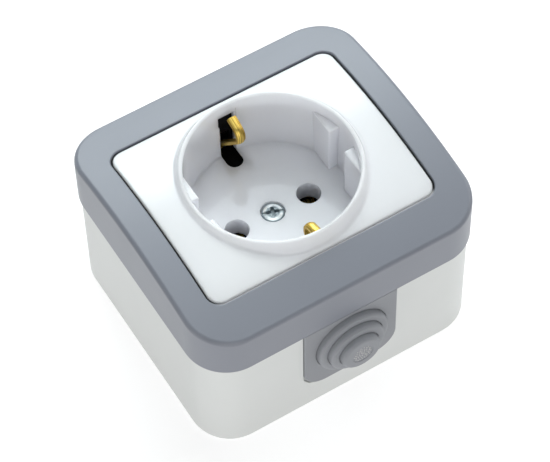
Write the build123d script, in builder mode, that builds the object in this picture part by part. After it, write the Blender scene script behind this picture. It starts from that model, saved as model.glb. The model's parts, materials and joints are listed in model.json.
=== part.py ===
from build123d import *
from math import sqrt
import os

# Earthed wall socket for surface mounting, in millimetres.
# The origin is the centre of the back face, +Z leaves the wall and +Y points up the wall.
# Two moulded shells stand on each other, and the white insert between them takes the plug.

# Plug interface: two round pins side by side and earth clips above and below them
PIN_SPACING = 19.0
PIN_HOLE_RADIUS = 2.85
WELL_RADIUS = 19.75
WELL_FLOOR_RADIUS = 19.45
WELL_DEPTH = 18.0
WELL_RIM = 47.1

# Back box, with a thin tongue on its rim that stands inside the cover frame
BOX_WIDTH = 71.2
BOX_HEIGHT = 65.0
BOX_DEPTH = 30.6
BOX_CORNER = 9.8
BOX_WALL = 2.4
BOX_FLOOR = 2.2
BOX_EDGE = 0.6
TONGUE_HEIGHT = 2.6
WALL_HOLE_RADIUS = 2.25
WALL_HOLE_PLACES = [(-24.0, 23.0), (24.0, -23.0)]
BOSS_RADIUS = 3.5

# Cover frame, arched from its upper to its lower edge
FRAME_OVERHANG = 0.6
FRAME_CREST = 46.0
FRAME_EDGE = 1.1
FRAME_SHELL = 2.4
FRAME_SKIRT = 1.6
FRAME_SHOULDER = 3.3
ARCH_RADIUS = 130.0
JOINT_GAP = 0.15
SEAL_THICKNESS = 1.2

# White insert, whose skirt stands on a ledge inside the frame's window
INSERT_WIDTH = 57.4
INSERT_HEIGHT = 46.2
INSERT_CORNER = 3.0
INSERT_GAP = 0.5
INSERT_DROP = 0.15
INSERT_SHELL = 1.8
INSERT_SKIRT = 1.4
INSERT_EDGE = 0.35
WINDOW_EDGE = 0.3
WINDOW_WALL = 1.6
GASKET_PLAY = 0.05
GASKET_DROP = 0.5
LEDGE_LEVEL = 39.3
LEDGE_THICKNESS = 1.6
LEDGE_WIDTH = 2.5
CUP_RADIUS = 21.1
CUP_FLOOR = 2.2
CUP_EDGE = 1.0
COLLAR_TOP_RADIUS = 20.6
COLLAR_FOOT_RADIUS = 22.5
COLLAR_HEIGHT = 4.0
COLLAR_BLEND = 1.0
LIP_ROUND = 0.45
RIB_FACE = 16.9
RIB_BELOW_RIM = 3.5
RIB_GROOVE = 6.2
RIB_ROUND = 0.4
CLIP_SLOT_WIDTH = 4.1
CLIP_SLOT_BELOW_RIM = 4.5
CLIP_SLOT_INNER_END = 14.8
CLIP_SLOT_LIP = 0.6
CLIP_SLOT_UNDERCUT = 0.9
CLIP_RECESS_MARGIN = 0.4
CLIP_RECESS_DEPTH = 0.3
CLIP_RECESS_RISE = 1.8
CLIP_RECESS_FALL = 3.0
SLEEVE_RADIUS = 4.2
SLEEVE_LENGTH = 5.6

# Screws
CENTRE_HEAD_RADIUS = 2.6
CENTRE_HEAD_HEIGHT = 1.2
CENTRE_HEAD_CROWN = 0.4
CENTRE_HEAD_ROUND = 0.25
CENTRE_SLOT_WIDTH = 0.7
CENTRE_SLOT_DEPTH = 0.65
CENTRE_CROSS_LENGTH = 2.7
CENTRE_CROSS_WIDTH = 0.8
CENTRE_CROSS_DEPTH = 1.1
CENTRE_CROSS_CORE = 0.75
CENTRE_TURN = -19.0
CENTRE_SHANK_RADIUS = 1.45
CENTRE_SCREW_LENGTH = 11.0
CENTRE_SEAT_RADIUS = 2.9
CENTRE_SEAT_DEPTH = 1.6
CENTRE_BOSS_RADIUS = 4.6
CENTRE_BOSS_LENGTH = 3.4
CARRIER_HEAD_RADIUS = 2.75
CARRIER_HEAD_HEIGHT = 1.8
CARRIER_SHANK_RADIUS = 1.4
CARRIER_SHANK_LENGTH = 6.9
CARRIER_SCREW_PLACES = [(14.0, -12.5), (-14.0, 12.5)]
CARRIER_PAD_PLACES = [(14.0, 12.5), (-14.0, -12.5)]
TERMINAL_HEAD_RADIUS = 2.9
TERMINAL_HEAD_HEIGHT = 1.9
TERMINAL_SHANK_RADIUS = 1.7
TERMINAL_SCREW_LENGTH = 6.6
THREAD_GAP = 0.05
SCREW_PLAY = 0.2
RECESS_WIDTH = 0.75
RECESS_SHARE = 0.7

# Contact carrier with the live parts in it, bridges over the earth strap and shields behind the clips
CARRIER_BOTTOM = 5.0
CARRIER_BELOW_FLOOR = 4.6
CARRIER_WIDTH = 44.0
CARRIER_HEIGHT = 34.0
CARRIER_CORNER = 3.2
CARRIER_EDGE = 0.4
CARRIER_SEAT = 9.0
CARRIER_PLAY = 0.4
BRIDGE_INNER = 6.6
BRIDGE_OUTER = 22.9
BRIDGE_WALL = 1.6
BRIDGE_ROOF = 0.8
SHIELD_WIDTH = 7.0
SHIELD_THICKNESS = 1.2
SHIELD_TOP = 40.6
SHIELD_DOOR = 34.0
SHIELD_PLAY = 0.5
TRAY_HEIGHT = 7.0
TRAY_WALL = 1.6
SHEET = 0.8
FORK_FLOOR = 7.0
FORK_BELOW_SLEEVE = 3.0
FORK_LEAD_IN = 3.2
FORK_SPRING = 10.4
FORK_LENGTH = 7.0
FORK_HALF_GRIP = 2.55
FORK_HALF_BODY = 3.6
CHAMBER_PLAY = 1.2
TAIL_WIDTH = 5.4
CAGE_WIDTH = 8.2
CAGE_LENGTH = 7.2
CAGE_HEIGHT = 9.6
CAGE_WALL = 1.1
CAGE_ROOF = 2.8
LIVE_TERMINAL_X = 26.0
LIVE_TERMINAL_Y = -8.6
EARTH_TERMINAL_X = 18.5
EARTH_TERMINAL_Y = 21.5

# Earth strap: a flat bar under the well, a lug to its terminal and a sprung clip at each end
STRAP_THICKNESS = 1.0
STRAP_WIDTH = 8.0
STRAP_HALF_LENGTH = 20.0
STRAP_CORNER = 1.5
LUG_ROOT_LOW = 9.0
LUG_ROOT_HIGH = 17.0
LUG_ELBOW_X = 12.0
LUG_ELBOW_Y = 13.0
CLIP_WIDTH = 2.2
CLIP_THICKNESS = 1.0
CLIP_CROWN = 0.35
CLIP_FOOT = 26.5
CLIP_BELLY = 14.2
CLIP_TIP = 18.3
CLIP_BELLY_BELOW_RIM = 6.7
CLIP_HEAD_BELOW_RIM = 3.6
CLIP_TIP_BELOW_RIM = 2.4
CLIP_FOOT_BEND = 1.2
CLIP_BELLY_BEND = 2.5
CLIP_HEAD_BEND = 2.2
CLIP_SHIFT = -0.85

# Cable grommet: a slide-in panel in the lower wall, flush with the frame, with a stepped cone
ENTRY_WIDTH = 24.4
ENTRY_BOTTOM = 8.2
ENTRY_CORNER = 4.4
ENTRY_GAP = 0.12
ENTRY_BEAD = 0.8
PANEL_INNER = 0.4
PANEL_ROUND = 0.3
PANEL_CORNER = 5.8
CONE_CENTRE = 20.2
CONE_RADII = [9.1, 7.1, 5.0]
CONE_STEP = 1.65
CONE_SKIN = 1.2
CONE_ROUND = 0.9
CONE_GROOVE_WIDTH = 0.2
CONE_GROOVE_DEPTH = 0.4
CONE_PAD_RADIUS = 2.7
CONE_PAD_DEPTH = 0.1

# Sizes that follow from those above
BOX_FRONT = BOX_HEIGHT / 2
BOX_INNER_WIDTH = BOX_WIDTH - 2 * BOX_WALL
BOX_INNER_HEIGHT = BOX_HEIGHT - 2 * BOX_WALL
BOX_INNER_CORNER = BOX_CORNER - BOX_WALL
FRAME_WIDTH = BOX_WIDTH + 2 * FRAME_OVERHANG
FRAME_HEIGHT = BOX_HEIGHT + 2 * FRAME_OVERHANG
FRAME_CORNER = BOX_CORNER + FRAME_OVERHANG
TONGUE_INSET = FRAME_SKIRT + JOINT_GAP
TONGUE_WIDTH = FRAME_WIDTH - 2 * TONGUE_INSET
TONGUE_DEPTH = FRAME_HEIGHT - 2 * TONGUE_INSET
TONGUE_CORNER = FRAME_CORNER - TONGUE_INSET
TONGUE_TOP = BOX_DEPTH + TONGUE_HEIGHT
SEAL_TOP = TONGUE_TOP + SEAL_THICKNESS
INSERT_CREST = FRAME_CREST - INSERT_DROP
WINDOW_WIDTH = INSERT_WIDTH + 2 * INSERT_GAP
WINDOW_HEIGHT = INSERT_HEIGHT + 2 * INSERT_GAP
WINDOW_CORNER = INSERT_CORNER + INSERT_GAP
GASKET_INSET = INSERT_GAP - GASKET_PLAY
WELL_FLOOR = WELL_RIM - WELL_DEPTH
RIB_TOP = WELL_RIM - RIB_BELOW_RIM
CLIP_SLOT_TOP = WELL_RIM - CLIP_SLOT_BELOW_RIM
CUP_BOTTOM = WELL_FLOOR - CUP_FLOOR
SLEEVE_BOTTOM = WELL_FLOOR - SLEEVE_LENGTH
CENTRE_SEAT = WELL_FLOOR - CENTRE_SEAT_DEPTH
CENTRE_BOSS_BOTTOM = WELL_FLOOR - CENTRE_BOSS_LENGTH
PIN_PLACES = [(-PIN_SPACING / 2, 0), (PIN_SPACING / 2, 0)]
CARRIER_TOP = WELL_FLOOR - CARRIER_BELOW_FLOOR
STRAP_TOP = CARRIER_TOP + STRAP_THICKNESS
STRAP_MIDDLE = CARRIER_TOP + STRAP_THICKNESS / 2
TUNNEL_WIDTH = STRAP_WIDTH + CARRIER_PLAY
TUNNEL_HEIGHT = STRAP_THICKNESS + CARRIER_PLAY / 2
BRIDGE_TOP = CARRIER_TOP + TUNNEL_HEIGHT + BRIDGE_ROOF
BRIDGE_MIDDLE = (BRIDGE_INNER + BRIDGE_OUTER) / 2
SHIELD_MIDDLE = BRIDGE_OUTER - SHIELD_THICKNESS / 2
SHIELD_NOTCH = SHIELD_WIDTH + 2 * SHIELD_PLAY
FORK_TOP = SLEEVE_BOTTOM - FORK_BELOW_SLEEVE
LIVE_CAGE_BOTTOM = FORK_FLOOR - CAGE_WALL
EARTH_CAGE_BOTTOM = CARRIER_TOP - CAGE_WALL
TERMINAL_HEAD_LIFT = CAGE_HEIGHT + TERMINAL_HEAD_HEIGHT
CHAMBER_WIDTH = FORK_LENGTH + 2 * CHAMBER_PLAY
CHAMBER_HEIGHT = 2 * FORK_HALF_BODY + SHEET + 2 * CARRIER_PLAY
CHANNEL_WIDTH = TAIL_WIDTH + 2 * CARRIER_PLAY
TRAY_WIDTH = CAGE_WIDTH + 2 * TRAY_WALL
TRAY_FRONT = LIVE_TERMINAL_Y - CAGE_LENGTH / 2 - TRAY_WALL
TRAY_REAR = CHANNEL_WIDTH / 2 + TRAY_WALL
CAGE_REAR = LIVE_TERMINAL_Y + (CAGE_LENGTH + CARRIER_PLAY) / 2
PANEL_FACE = FRAME_HEIGHT / 2
PANEL_BACK = BOX_FRONT - BOX_WALL - PANEL_INNER
BEAD_OUTER = BOX_FRONT - (BOX_WALL - ENTRY_BEAD) / 2
BEAD_INNER = BEAD_OUTER - ENTRY_BEAD
UPWARDS = (Align.CENTER, Align.CENTER, Align.MIN)
DOWNWARDS = (Align.CENTER, Align.CENTER, Align.MAX)

os.makedirs("parts", exist_ok=True)


def arched_block(width, height, corner, crest, foot):
    """A block with rounded corners, from a level foot up to the arched top."""
    reach = height / 2 + 1
    springing = crest - ARCH_RADIUS + sqrt(ARCH_RADIUS**2 - reach**2)
    with BuildPart() as block:
        with BuildSketch(Plane.YZ):
            with BuildLine():
                ThreePointArc((-reach, springing), (0, crest), (reach, springing))
                Polyline((reach, springing), (reach, foot), (-reach, foot), (-reach, springing))
            make_face()
        extrude(amount=width, both=True)
        with BuildSketch(Plane.XY.offset(foot)):
            RectangleRounded(width, height, corner)
        extrude(amount=crest, mode=Mode.INTERSECT)
    return block.part


def entry_slab(inset, inner, outer, top, corner=ENTRY_CORNER):
    """A slab of the cable entry's outline, between two distances below the socket's middle."""
    half = ENTRY_WIDTH / 2 - inset
    low = ENTRY_BOTTOM + inset
    with BuildPart() as slab:
        with BuildSketch(Plane.XZ.offset(inner)):
            with BuildLine():
                FilletPolyline(
                    (-half, top), (-half, low), (half, low), (half, top), radius=corner - inset
                )
                Line((half, top), (-half, top))
            make_face()
        extrude(amount=outer - inner)
    return slab.part


def screw(head_radius, head_height, shank_radius, shank_length):
    """A pan-head screw with a cross recess, its head standing on the XY plane."""
    recess_length = 2 * head_radius * RECESS_SHARE
    with BuildPart() as body:
        Cylinder(head_radius, head_height, align=UPWARDS)
        chamfer(body.edges().group_by(Axis.Z)[-1], head_height / 3)
        with Locations((0, 0, head_height)):
            Box(recess_length, RECESS_WIDTH, head_height, mode=Mode.SUBTRACT)
            Box(RECESS_WIDTH, recess_length, head_height, mode=Mode.SUBTRACT)
        Cylinder(shank_radius, shank_length, align=DOWNWARDS)
        chamfer(body.edges().group_by(Axis.Z)[0], shank_radius / 3)
    return body.part


def box_clamp(turn):
    """A box clamp for one wire: a short square tube with a thick roof for its screw."""
    with BuildPart() as cage:
        Box(CAGE_WIDTH, CAGE_LENGTH, CAGE_HEIGHT, align=UPWARDS, rotation=(0, 0, turn))
        fillet(cage.edges().filter_by(Axis.Z), CAGE_WALL / 2)
        with Locations((0, 0, CAGE_WALL)):
            Box(
                CAGE_WIDTH - 2 * CAGE_WALL,
                2 * CAGE_LENGTH,
                CAGE_HEIGHT - CAGE_WALL - CAGE_ROOF,
                align=UPWARDS,
                rotation=(0, 0, turn),
                mode=Mode.SUBTRACT,
            )
        with Locations((0, 0, CAGE_HEIGHT)):
            Hole(TERMINAL_SHANK_RADIUS + THREAD_GAP, CAGE_ROOF)
    return cage.part


# Back box: an open tub with bosses for the carrier, two holes to the wall and the cable entry
with BuildPart() as back_box:
    with BuildSketch():
        RectangleRounded(BOX_WIDTH, BOX_HEIGHT, BOX_CORNER)
    extrude(amount=BOX_DEPTH)
    fillet(back_box.edges().group_by(Axis.Z)[0], BOX_EDGE)
    with BuildSketch(Plane.XY.offset(BOX_DEPTH)):
        RectangleRounded(TONGUE_WIDTH, TONGUE_DEPTH, TONGUE_CORNER)
    extrude(amount=TONGUE_HEIGHT)
    with BuildSketch(Plane.XY.offset(BOX_FLOOR)):
        RectangleRounded(BOX_INNER_WIDTH, BOX_INNER_HEIGHT, BOX_INNER_CORNER)
    extrude(amount=TONGUE_TOP, mode=Mode.SUBTRACT)
    with BuildSketch(Plane.XY.offset(BOX_FLOOR)):
        with Locations(*CARRIER_SCREW_PLACES, *CARRIER_PAD_PLACES):
            Circle(BOSS_RADIUS)
    extrude(amount=CARRIER_BOTTOM - BOX_FLOOR)
    with Locations(*[(x, y, CARRIER_BOTTOM) for x, y in CARRIER_SCREW_PLACES]):
        Hole(CARRIER_SHANK_RADIUS + THREAD_GAP, CARRIER_BOTTOM - BOX_FLOOR / 2)
    with Locations(*[(x, y, BOX_FLOOR) for x, y in WALL_HOLE_PLACES]):
        Hole(WALL_HOLE_RADIUS, BOX_FLOOR)
    add(entry_slab(0, BEAD_OUTER, BOX_FRONT + 1, TONGUE_TOP + 1), mode=Mode.SUBTRACT)
    add(entry_slab(ENTRY_BEAD, BEAD_INNER, BEAD_OUTER, TONGUE_TOP + 1), mode=Mode.SUBTRACT)
    add(entry_slab(0, PANEL_BACK, BEAD_INNER, TONGUE_TOP + 1), mode=Mode.SUBTRACT)
back_box.part.label = "back_box"
export_step(back_box.part, "parts/back_box.step")

# Frame seal: a flat ring on the box's tongue
with BuildPart() as frame_seal:
    with BuildSketch(Plane.XY.offset(TONGUE_TOP)):
        RectangleRounded(TONGUE_WIDTH, TONGUE_DEPTH, TONGUE_CORNER)
        RectangleRounded(BOX_INNER_WIDTH, BOX_INNER_HEIGHT, BOX_INNER_CORNER, mode=Mode.SUBTRACT)
    extrude(amount=SEAL_THICKNESS)
frame_seal.part.label = "frame_seal"
export_step(frame_seal.part, "parts/frame_seal.step")

# Hollow inside the cover frame, above the seal and round the wall of the window
with BuildPart() as frame_hollow:
    add(
        arched_block(
            FRAME_WIDTH - 2 * FRAME_SHOULDER,
            FRAME_HEIGHT - 2 * FRAME_SHOULDER,
            FRAME_CORNER - FRAME_SHOULDER,
            FRAME_CREST - FRAME_SHELL,
            SEAL_TOP,
        )
    )
    with BuildSketch(Plane.XY.offset(LEDGE_LEVEL - LEDGE_THICKNESS)):
        RectangleRounded(
            WINDOW_WIDTH + 2 * WINDOW_WALL, WINDOW_HEIGHT + 2 * WINDOW_WALL, WINDOW_CORNER + WINDOW_WALL
        )
    extrude(amount=FRAME_CREST, mode=Mode.SUBTRACT)

# Cover frame: the arched shell with a skirt over the tongue and a notched ledge in its window
with BuildPart() as cover_frame:
    add(arched_block(FRAME_WIDTH, FRAME_HEIGHT, FRAME_CORNER, FRAME_CREST, BOX_DEPTH))
    fillet(cover_frame.faces().sort_by(Axis.Z)[-1].edges(), FRAME_EDGE)
    with BuildSketch(Plane.XY.offset(LEDGE_LEVEL)):
        RectangleRounded(WINDOW_WIDTH, WINDOW_HEIGHT, WINDOW_CORNER)
    extrude(amount=FRAME_CREST, mode=Mode.SUBTRACT)
    window_rim = cover_frame.edges(Select.LAST).filter_by_position(
        Axis.Z, FRAME_CREST - FRAME_SHELL, FRAME_CREST + 1
    )
    fillet(window_rim, WINDOW_EDGE)
    with BuildSketch(Plane.XY.offset(BOX_DEPTH)):
        RectangleRounded(
            WINDOW_WIDTH - 2 * LEDGE_WIDTH, WINDOW_HEIGHT - 2 * LEDGE_WIDTH, WINDOW_CORNER - LEDGE_WIDTH / 2
        )
        Circle(CUP_RADIUS + INSERT_GAP)
    extrude(amount=LEDGE_LEVEL - BOX_DEPTH, mode=Mode.SUBTRACT)
    with BuildSketch(Plane.XY.offset(BOX_DEPTH)):
        RectangleRounded(
            FRAME_WIDTH - 2 * FRAME_SKIRT, FRAME_HEIGHT - 2 * FRAME_SKIRT, FRAME_CORNER - FRAME_SKIRT
        )
    extrude(amount=SEAL_TOP - BOX_DEPTH, mode=Mode.SUBTRACT)
    add(frame_hollow.part, mode=Mode.SUBTRACT)
    with Locations((0, SHIELD_MIDDLE, BOX_DEPTH), (0, -SHIELD_MIDDLE, BOX_DEPTH)):
        Box(
            SHIELD_NOTCH,
            SHIELD_THICKNESS + 2 * SHIELD_PLAY,
            LEDGE_LEVEL - BOX_DEPTH,
            align=UPWARDS,
            mode=Mode.SUBTRACT,
        )
cover_frame.part.label = "cover_frame"
export_step(cover_frame.part, "parts/cover_frame.step")

# Guide ribs on the left and right of the well, in two pairs with a groove between them
rib_corner = (RIB_FACE, RIB_GROOVE / 2, RIB_TOP)
with BuildPart() as guide_ribs:
    with Locations(rib_corner):
        Box(CUP_RADIUS, CUP_RADIUS, RIB_TOP - WELL_FLOOR, align=(Align.MIN, Align.MIN, Align.MAX))
    fillet(guide_ribs.edges().sort_by_distance(rib_corner)[:3], RIB_ROUND)
    mirror(about=Plane.XZ)
    mirror(about=Plane.YZ)
    with Locations((0, 0, WELL_FLOOR)):
        Cylinder(
            (WELL_RADIUS + CUP_RADIUS) / 2, RIB_TOP - WELL_FLOOR, align=UPWARDS, mode=Mode.INTERSECT
        )

# Socket insert: arched plate, flared collar, well with guide ribs, pin sleeves and clip slots
with BuildPart() as socket_insert:
    add(arched_block(INSERT_WIDTH, INSERT_HEIGHT, INSERT_CORNER, INSERT_CREST, LEDGE_LEVEL))
    fillet(socket_insert.faces().sort_by(Axis.Z)[-1].edges(), INSERT_EDGE)
    add(
        arched_block(
            INSERT_WIDTH - 2 * INSERT_SKIRT,
            INSERT_HEIGHT - 2 * INSERT_SKIRT,
            INSERT_CORNER - INSERT_SKIRT,
            INSERT_CREST - INSERT_SHELL,
            LEDGE_LEVEL,
        ),
        mode=Mode.SUBTRACT,
    )
    with Locations((0, 0, LEDGE_LEVEL)):
        Cylinder((WELL_RADIUS + COLLAR_TOP_RADIUS) / 2, FRAME_CREST, align=UPWARDS, mode=Mode.SUBTRACT)
    with BuildSketch(Plane.XZ):
        with BuildLine():
            FilletPolyline(
                (0, CUP_BOTTOM),
                (CUP_RADIUS, CUP_BOTTOM),
                (CUP_RADIUS, CLIP_SLOT_TOP),
                (COLLAR_FOOT_RADIUS, WELL_RIM - COLLAR_HEIGHT),
                (COLLAR_TOP_RADIUS, WELL_RIM),
                (WELL_RADIUS, WELL_RIM),
                (WELL_FLOOR_RADIUS, WELL_FLOOR),
                (0, WELL_FLOOR),
                radius=[0, CUP_EDGE, 0, 0, LIP_ROUND, LIP_ROUND, CUP_EDGE / 2, 0],
                close=True,
            )
        make_face()
    revolve(axis=Axis.Z)
    plate_top = socket_insert.faces().filter_by(GeomType.CYLINDER).sort_by(Axis.Z)[-1]
    fillet(plate_top.inner_wires()[0].edges(), COLLAR_BLEND)
    add(guide_ribs.part)
    with Locations((0, 0, CENTRE_BOSS_BOTTOM)):
        Cylinder(CENTRE_BOSS_RADIUS, CUP_BOTTOM - CENTRE_BOSS_BOTTOM, align=UPWARDS)
    with Locations(*[(x, y, SLEEVE_BOTTOM) for x, y in PIN_PLACES]):
        Cylinder(SLEEVE_RADIUS, CUP_BOTTOM - SLEEVE_BOTTOM, align=UPWARDS)
    with Locations(*[(x, y, WELL_FLOOR) for x, y in PIN_PLACES]):
        Hole(PIN_HOLE_RADIUS, SLEEVE_LENGTH)
    with Locations((0, 0, WELL_FLOOR)):
        CounterBoreHole(
            CENTRE_SHANK_RADIUS + SCREW_PLAY,
            CENTRE_SEAT_RADIUS,
            CENTRE_SEAT_DEPTH,
            WELL_FLOOR - CENTRE_BOSS_BOTTOM,
        )
    slot_reach = CUP_RADIUS + INSERT_GAP / 2
    slot_round = CLIP_SLOT_INNER_END + CLIP_SLOT_WIDTH / 2
    with BuildSketch(Plane.XY.offset(CUP_BOTTOM)):
        with Locations((0, slot_round), (0, -slot_round)):
            Circle(CLIP_SLOT_WIDTH / 2)
        with GridLocations(0, slot_round + slot_reach, 1, 2):
            Rectangle(CLIP_SLOT_WIDTH, slot_reach - slot_round)
    extrude(amount=CLIP_SLOT_TOP - CUP_BOTTOM, mode=Mode.SUBTRACT)
    undercut_end = CLIP_SLOT_INNER_END - CLIP_SLOT_UNDERCUT
    with Locations(
        (0, (undercut_end + slot_reach) / 2, CUP_BOTTOM), (0, -(undercut_end + slot_reach) / 2, CUP_BOTTOM)
    ):
        Box(
            CLIP_SLOT_WIDTH + 2 * CLIP_SLOT_UNDERCUT,
            slot_reach - undercut_end,
            CUP_FLOOR - CLIP_SLOT_LIP,
            align=UPWARDS,
            mode=Mode.SUBTRACT,
        )
    recess_foot = CLIP_SLOT_TOP - CLIP_RECESS_FALL
    with Locations((0, WELL_RADIUS, recess_foot), (0, -WELL_RADIUS, recess_foot)):
        Box(
            CLIP_SLOT_WIDTH + 2 * CLIP_RECESS_MARGIN,
            2 * CLIP_RECESS_DEPTH,
            CLIP_RECESS_FALL + CLIP_RECESS_RISE,
            align=UPWARDS,
            mode=Mode.SUBTRACT,
        )
    with Locations((0, SHIELD_MIDDLE, LEDGE_LEVEL), (0, -SHIELD_MIDDLE, LEDGE_LEVEL)):
        Box(
            SHIELD_NOTCH,
            SHIELD_THICKNESS + 2 * SHIELD_PLAY,
            SHIELD_TOP + SHIELD_PLAY - LEDGE_LEVEL,
            align=UPWARDS,
            mode=Mode.SUBTRACT,
        )
socket_insert.part.label = "socket_insert"
export_step(socket_insert.part, "parts/socket_insert.step")

# Insert gasket: a thin arched ring that closes the gap between the insert and the window
with BuildPart() as insert_gasket:
    add(
        arched_block(
            INSERT_WIDTH + 2 * GASKET_INSET,
            INSERT_HEIGHT + 2 * GASKET_INSET,
            INSERT_CORNER + GASKET_INSET,
            INSERT_CREST - GASKET_DROP,
            LEDGE_LEVEL,
        )
    )
    with BuildSketch(Plane.XY.offset(LEDGE_LEVEL)):
        RectangleRounded(
            INSERT_WIDTH + 2 * GASKET_PLAY, INSERT_HEIGHT + 2 * GASKET_PLAY, INSERT_CORNER + GASKET_PLAY
        )
    extrude(amount=FRAME_CREST, mode=Mode.SUBTRACT)
insert_gasket.part.label = "insert_gasket"
export_step(insert_gasket.part, "parts/insert_gasket.step")

# Centre screw, which pulls the insert and the frame down on to the box: crowned head with slot and cross
head_rim = CENTRE_SEAT + CENTRE_HEAD_HEIGHT
head_crown = head_rim + CENTRE_HEAD_CROWN
crown_radius = CENTRE_HEAD_RADIUS - CENTRE_HEAD_ROUND
crown_middle = (crown_radius / 2, head_rim + CENTRE_HEAD_CROWN * 3 / 4)
with BuildPart() as centre_screw:
    with BuildSketch(Plane.XZ):
        with BuildLine():
            Polyline(
                (0, head_crown),
                (0, CENTRE_SEAT - CENTRE_SCREW_LENGTH),
                (CENTRE_SHANK_RADIUS, CENTRE_SEAT - CENTRE_SCREW_LENGTH),
                (CENTRE_SHANK_RADIUS, CENTRE_SEAT),
                (CENTRE_HEAD_RADIUS, CENTRE_SEAT),
                (CENTRE_HEAD_RADIUS, head_rim - CENTRE_HEAD_ROUND),
            )
            TangentArc(
                (CENTRE_HEAD_RADIUS, head_rim - CENTRE_HEAD_ROUND),
                (crown_radius, head_rim),
                tangent=(0, 1),
            )
            ThreePointArc((crown_radius, head_rim), crown_middle, (0, head_crown))
        make_face()
    revolve(axis=Axis.Z)
    with Locations(Location((0, 0, head_crown), (0, 0, CENTRE_TURN))):
        Box(2 * CENTRE_SEAT_RADIUS, CENTRE_SLOT_WIDTH, 2 * CENTRE_SLOT_DEPTH, mode=Mode.SUBTRACT)
        Box(CENTRE_CROSS_LENGTH, CENTRE_CROSS_WIDTH, 2 * CENTRE_CROSS_DEPTH, mode=Mode.SUBTRACT)
        Box(CENTRE_CROSS_WIDTH, CENTRE_CROSS_LENGTH, 2 * CENTRE_CROSS_DEPTH, mode=Mode.SUBTRACT)
        Cylinder(CENTRE_CROSS_CORE, 2 * CENTRE_CROSS_DEPTH, mode=Mode.SUBTRACT)
centre_screw.part.label = "centre_screw"
export_step(centre_screw.part, "parts/centre_screw.step")

# Pair of earth clips: crowned spring strips, each bent back from a foot, bellied and hooked over at its head
clip_side = CLIP_WIDTH / 2
clip_edge = CLIP_CROWN - CLIP_THICKNESS / 2
clip_root = STRAP_HALF_LENGTH - STRAP_THICKNESS
with BuildPart() as clip_pair:
    with BuildLine(Plane.YZ) as clip_line:
        FilletPolyline(
            (clip_root, STRAP_MIDDLE),
            (CLIP_FOOT, STRAP_MIDDLE),
            (CLIP_BELLY, WELL_RIM - CLIP_BELLY_BELOW_RIM),
            (CLIP_BELLY, WELL_RIM - CLIP_HEAD_BELOW_RIM),
            (CLIP_TIP, WELL_RIM - CLIP_TIP_BELOW_RIM),
            radius=[CLIP_FOOT_BEND, CLIP_BELLY_BEND, CLIP_HEAD_BEND],
        )
    with BuildSketch(Plane(origin=(0, clip_root, STRAP_MIDDLE), x_dir=(1, 0, 0), z_dir=(0, 1, 0))):
        with BuildLine():
            Polyline(
                (-clip_side, clip_edge),
                (-clip_side, CLIP_THICKNESS / 2),
                (clip_side, CLIP_THICKNESS / 2),
                (clip_side, clip_edge),
            )
            ThreePointArc((-clip_side, clip_edge), (0, -CLIP_THICKNESS / 2), (clip_side, clip_edge))
        make_face()
    sweep(path=clip_line.wire())
    mirror(about=Plane.XZ)

# Earth strap: flat bar with a threaded collar, a lug to its terminal and the two clips
lug_side = TAIL_WIDTH / 2
lug_root = STRAP_WIDTH / 2 - STRAP_THICKNESS
with BuildPart() as earth_strap:
    with Locations((0, CLIP_SHIFT, 0)):
        add(clip_pair.part)
    with BuildSketch(Plane.XY.offset(CARRIER_TOP)):
        RectangleRounded(STRAP_WIDTH, 2 * STRAP_HALF_LENGTH, STRAP_CORNER)
        with BuildLine():
            Polyline(
                (lug_root, LUG_ROOT_LOW),
                (LUG_ELBOW_X, LUG_ELBOW_Y),
                (EARTH_TERMINAL_X - CAGE_LENGTH / 2, EARTH_TERMINAL_Y - lug_side),
                (EARTH_TERMINAL_X + CAGE_LENGTH / 2, EARTH_TERMINAL_Y - lug_side),
                (EARTH_TERMINAL_X + CAGE_LENGTH / 2, EARTH_TERMINAL_Y + lug_side),
                (LUG_ELBOW_X, EARTH_TERMINAL_Y + lug_side),
                (lug_root, LUG_ROOT_HIGH),
                close=True,
            )
        make_face()
    extrude(amount=STRAP_THICKNESS)
    with Locations((0, 0, CARRIER_TOP)):
        Cylinder(2 * CENTRE_SHANK_RADIUS, 2 * STRAP_THICKNESS, align=DOWNWARDS)
    with Locations((0, 0, STRAP_TOP)):
        Hole(CENTRE_SHANK_RADIUS + THREAD_GAP, 3 * STRAP_THICKNESS)
earth_strap.part.label = "earth_strap"
export_step(earth_strap.part, "parts/earth_strap.step")

# Neutral contact: a folded fork that grips the pin, with a flat tail to its terminal
fork_x = PIN_SPACING / 2
tail_low = LIVE_TERMINAL_Y - CAGE_LENGTH / 2
with BuildPart() as neutral_contact:
    with BuildSketch(Plane.YZ.offset(fork_x - FORK_LENGTH / 2)):
        with BuildLine() as fork_line:
            FilletPolyline(
                (-FORK_HALF_BODY, FORK_TOP),
                (-FORK_HALF_GRIP, FORK_TOP - FORK_LEAD_IN),
                (-FORK_HALF_BODY, FORK_TOP - FORK_SPRING),
                (-FORK_HALF_BODY, FORK_FLOOR + SHEET / 2),
                (FORK_HALF_BODY, FORK_FLOOR + SHEET / 2),
                (FORK_HALF_BODY, FORK_TOP - FORK_SPRING),
                (FORK_HALF_GRIP, FORK_TOP - FORK_LEAD_IN),
                (FORK_HALF_BODY, FORK_TOP),
                radius=SHEET,
            )
        trace(line_width=SHEET)
    extrude(amount=FORK_LENGTH)
    with BuildSketch(Plane.XY.offset(FORK_FLOOR)):
        with Locations((fork_x, 0)):
            Rectangle(
                LIVE_TERMINAL_X + TAIL_WIDTH / 2 - fork_x, TAIL_WIDTH, align=(Align.MIN, Align.CENTER)
            )
        with Locations((LIVE_TERMINAL_X, tail_low)):
            Rectangle(TAIL_WIDTH, TAIL_WIDTH / 2 - tail_low, align=(Align.CENTER, Align.MIN))
    extrude(amount=SHEET)
neutral_contact.part.label = "neutral_contact"
export_step(neutral_contact.part, "parts/neutral_contact.step")

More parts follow.
